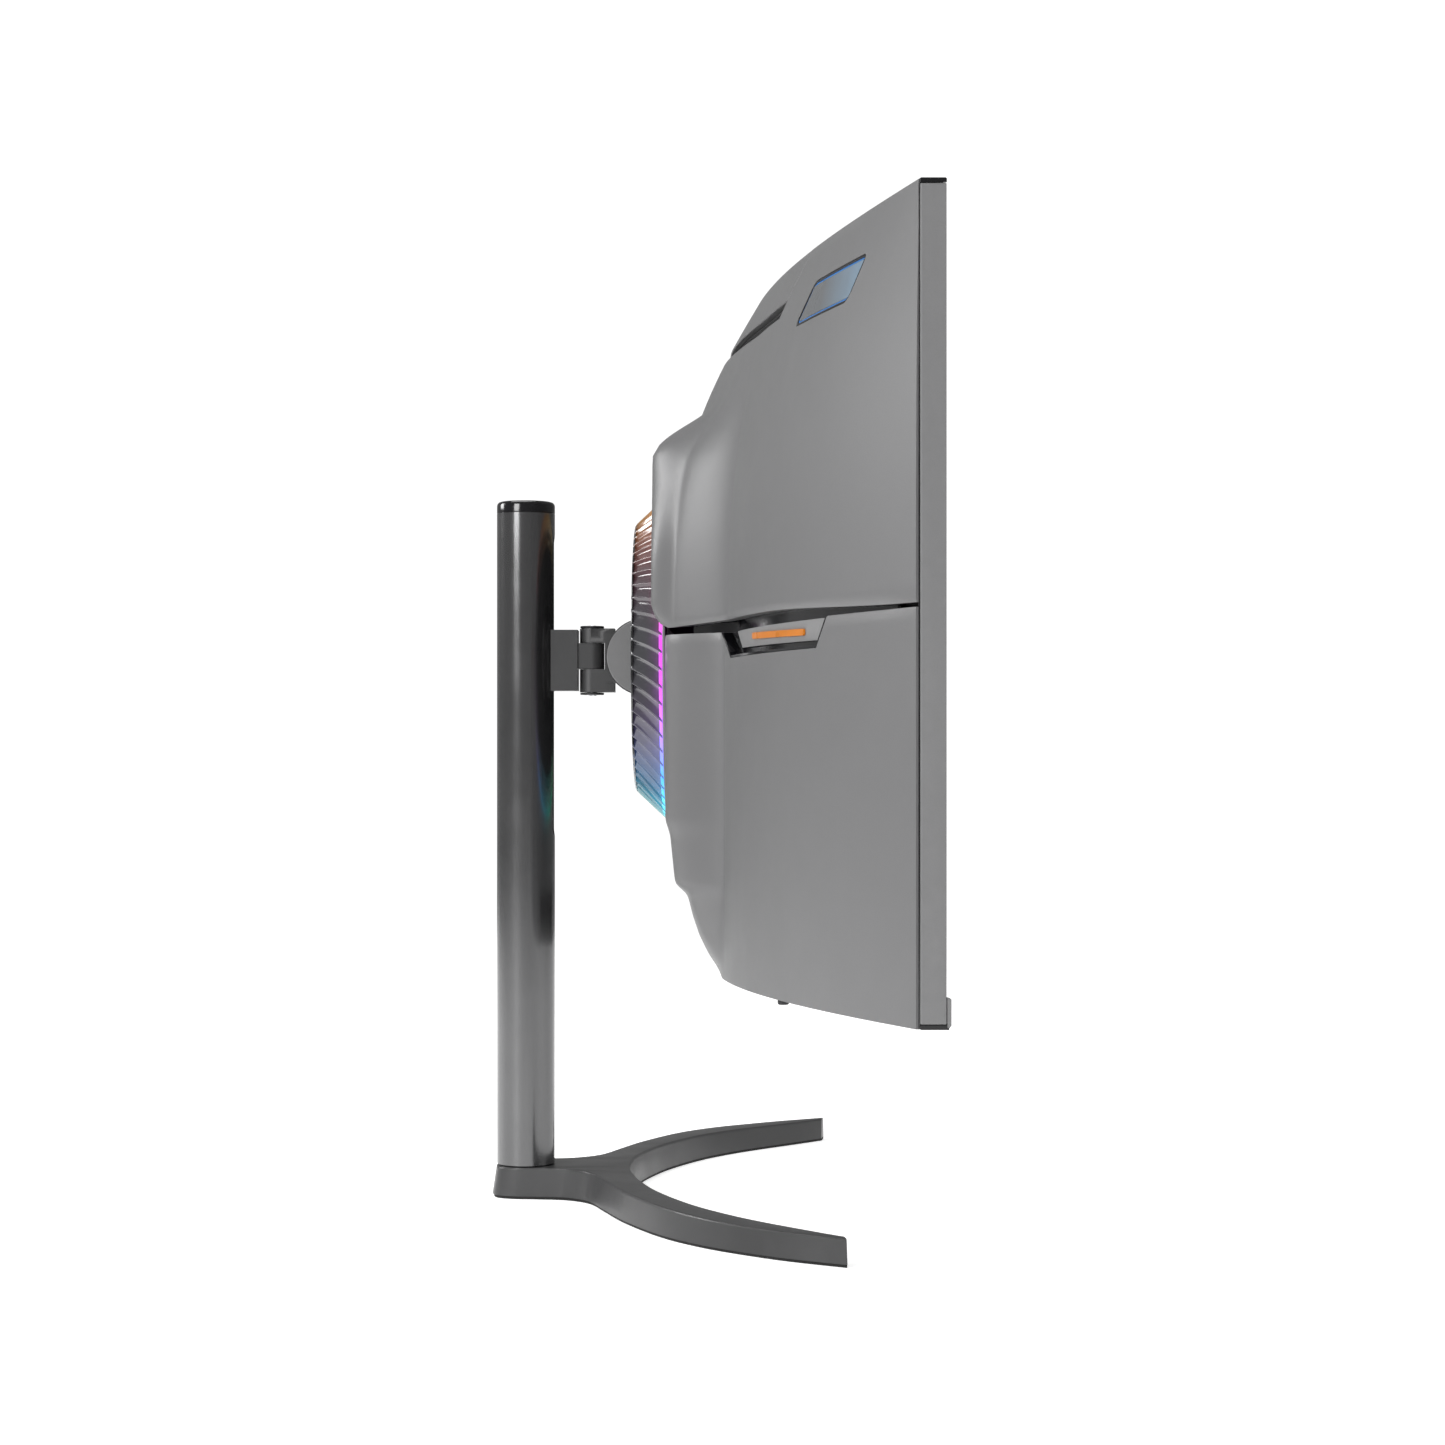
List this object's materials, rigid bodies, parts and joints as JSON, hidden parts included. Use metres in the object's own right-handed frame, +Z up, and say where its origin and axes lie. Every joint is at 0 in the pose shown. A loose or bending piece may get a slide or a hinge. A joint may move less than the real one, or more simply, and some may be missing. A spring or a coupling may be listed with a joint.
{
  "type": "curved desktop monitor with accent light bars",
  "caption": "Curved ultrawide gaming monitor with orange accent light bars and a finned light ring, on a height, swivel and tilt column stand with a wishbone foot.",
  "frame": {"origin": "on the desk, under the middle of the bounding box", "axes": "-Y out of the screen towards the viewer, +X to the viewer's right, +Z up"},
  "size_m": [0.7982, 0.2336, 0.4988],
  "materials": {
    "shell_grey": "satin",
    "frame_grey": "satin",
    "gloss_black": "gloss",
    "matte_black": "matte",
    "stand_grey": "satin",
    "rubber": "matte",
    "screen": "satin",
    "film": "satin",
    "chassis_steel": "matte",
    "bright_steel": "satin",
    "board": "satin",
    "led_board": "matte",
    "ring_smoke": "gloss",
    "orange_lens": "satin",
    "blue_lens": "gloss",
    "acetal": "satin"
  },
  "bodies": {
    "stand": {"base_wishbone": "stand_grey", "base_pad": "rubber", "base_thumbscrew": "bright_steel", "pole_foot_plug": "chassis_steel", "pole_tube": "stand_grey", "pole_cap": "gloss_black", "guide_rail": "chassis_steel", "gas_spring_cylinder": "chassis_steel"},
    "carriage": {"gas_spring_rod": "bright_steel", "slide_carriage": "acetal", "neck_bracket": "stand_grey", "carriage_screw_1": "bright_steel", "carriage_screw_2": "bright_steel"},
    "yoke": {"swivel_yoke": "stand_grey", "swivel_pin": "bright_steel", "swivel_washer_lower": "matte_black", "swivel_washer_upper": "matte_black"},
    "joystick_gimbal": {"joystick_gimbal": "acetal"},
    "joystick_stick": {"joystick_stick": "acetal"},
    "joystick_cap": {"joystick_cap": "matte_black"},
    "head": {"accent_trim_left": "gloss_black", "accent_trim_right": "gloss_black", "badge_frame_left": "blue_lens", "badge_frame_right": "blue_lens", "badge_lens_left": "gloss_black", "badge_lens_right": "gloss_black", "bottom_bezel": "frame_grey", "bracket_screw_1": "bright_steel", "bracket_screw_2": "bright_steel", "bracket_screw_3": "bright_steel", "bracket_screw_4": "bright_steel", "hinge_cap_left": "stand_grey", "hinge_cap_right": "stand_grey", "joystick_housing": "matte_black", "lcd_panel": "screen", "light_bar_lens_left": "orange_lens", "light_bar_lens_right": "orange_lens", "light_bar_plate_left": "frame_grey", "light_bar_plate_right": "frame_grey", "light_guide": "film", "lower_rear_cover": "shell_grey", "main_board": "board", "panel_chassis": "chassis_steel", "port_tray": "matte_black", "power_board": "board", "ring_base": "frame_grey", "ring_centre_cap": "gloss_black", "ring_diffuser": "ring_smoke", "ring_led_board": "led_board", "side_frame_left": "frame_grey", "side_frame_right": "frame_grey", "tilt_bracket": "chassis_steel", "tilt_pin": "bright_steel", "top_frame": "gloss_black", "top_panel": "shell_grey", "upper_rear_cover": "shell_grey", "vent_grille": "matte_black", "vesa_plate": "chassis_steel"}
  },
  "joints": [
    {"name": "height_slide", "type": "slide", "parent": "stand", "child": "carriage", "axis": [0, 0, 1], "range_m": [-0.08, 0.05]},
    {"name": "swivel", "type": "hinge", "parent": "carriage", "child": "yoke", "pos_m": [0, 0.05995, 0.3045], "axis": [0, 0, 1], "range_deg": [-25, 25]},
    {"name": "tilt", "type": "hinge", "parent": "yoke", "child": "head", "pos_m": [0, 0.02935, 0.306], "axis": [-1, 0, 0], "range_deg": [-5, 20]},
    {"name": "joystick_fore_aft", "type": "hinge", "parent": "head", "child": "joystick_gimbal", "pos_m": [-0.235, -0.0465, 0.146], "axis": [1, 0, 0], "range_deg": [-5, 5], "stiffness_Nm_per_rad": 0.05},
    {"name": "joystick_left_right", "type": "hinge", "parent": "joystick_gimbal", "child": "joystick_stick", "pos_m": [-0.235, -0.0465, 0.146], "axis": [0, 1, 0], "range_deg": [-5, 5], "stiffness_Nm_per_rad": 0.05},
    {"name": "joystick_press", "type": "slide", "parent": "joystick_stick", "child": "joystick_cap", "axis": [0, 0, 1], "range_m": [0, 0.0005], "stiffness_N_per_m": 600, "springref_m": -0.0005}
  ]
}
